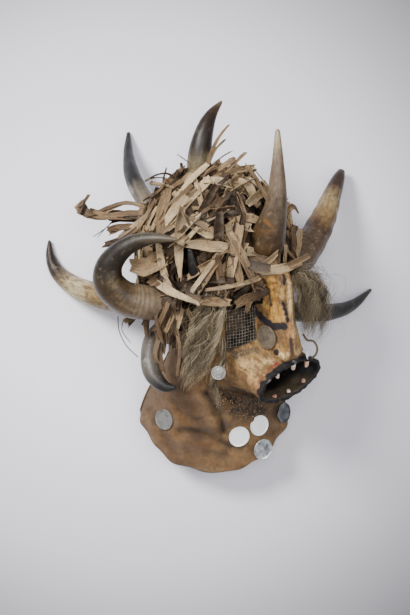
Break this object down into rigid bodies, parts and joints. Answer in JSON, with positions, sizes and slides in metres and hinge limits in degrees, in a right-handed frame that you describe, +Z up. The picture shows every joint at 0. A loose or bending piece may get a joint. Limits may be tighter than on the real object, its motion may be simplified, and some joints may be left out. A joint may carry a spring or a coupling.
{
  "type": "horned ceremonial mask",
  "caption": "Horned ceremonial helmet mask with a carved muzzle, leaf-strip mantle, goat hair, small mirrors and a brown cloth hood, lying on its back.",
  "frame": {"origin": "on the floor under the middle of the whole mask, which lies on its back", "axes": "+X across the lying mask to the right as seen from above, +Y from the neck hood towards the crown, +Z up from the floor"},
  "size_m": [0.6904, 0.7534, 0.3526],
  "materials": {
    "painted_wood": "hand-carved wood, worn ochre paint with black and red marks",
    "horn": "natural cattle horn, half polished, with growth rings and bleached patches",
    "leaf": "dry matte leaf strips with fine ribs",
    "hood_cloth": "coarse brown cloth, creased and dusty",
    "black_cloth": "worn black cotton cloth",
    "hair": "long grey-beige goat hair",
    "mirror": "old pocket mirror with a worn edge",
    "dark_mirror": "mirror whose silvering has gone dark",
    "dull_metal": "tarnished sheet metal and wire",
    "glass": "clear glass disc",
    "tooth": "pale pegs with traces of pink paint"
  },
  "bodies": {
    "root": {"head_cap": "black_cloth", "wood_face": "painted_wood", "cloth_hood": "hood_cloth", "leaf_mantle": "leaf", "eye_mesh_right": "dull_metal", "eye_mesh_left": "dull_metal", "nose_disc": "dull_metal", "mirror_right": "mirror", "mirror_middle": "mirror", "mirror_upper": "mirror", "mirror_hem": "mirror", "mirror_dark": "dark_mirror", "lip_mirror": "mirror", "glass_disc": "glass", "tooth_1": "tooth", "tooth_2": "tooth", "tooth_3": "tooth", "tooth_4": "tooth", "tooth_5": "tooth", "tooth_6": "tooth", "horn_crown": "horn", "horn_rear": "horn", "horn_far_right": "horn", "horn_great": "horn", "horn_brow": "horn", "horn_ringed": "horn", "horn_low_left": "horn", "horn_jaw": "horn", "horn_temple": "horn", "hair_right_front": "hair", "hair_right_back": "hair", "hair_right_long": "hair", "hair_left_front": "hair", "hair_left_back": "hair"}
  },
  "joints": []
}
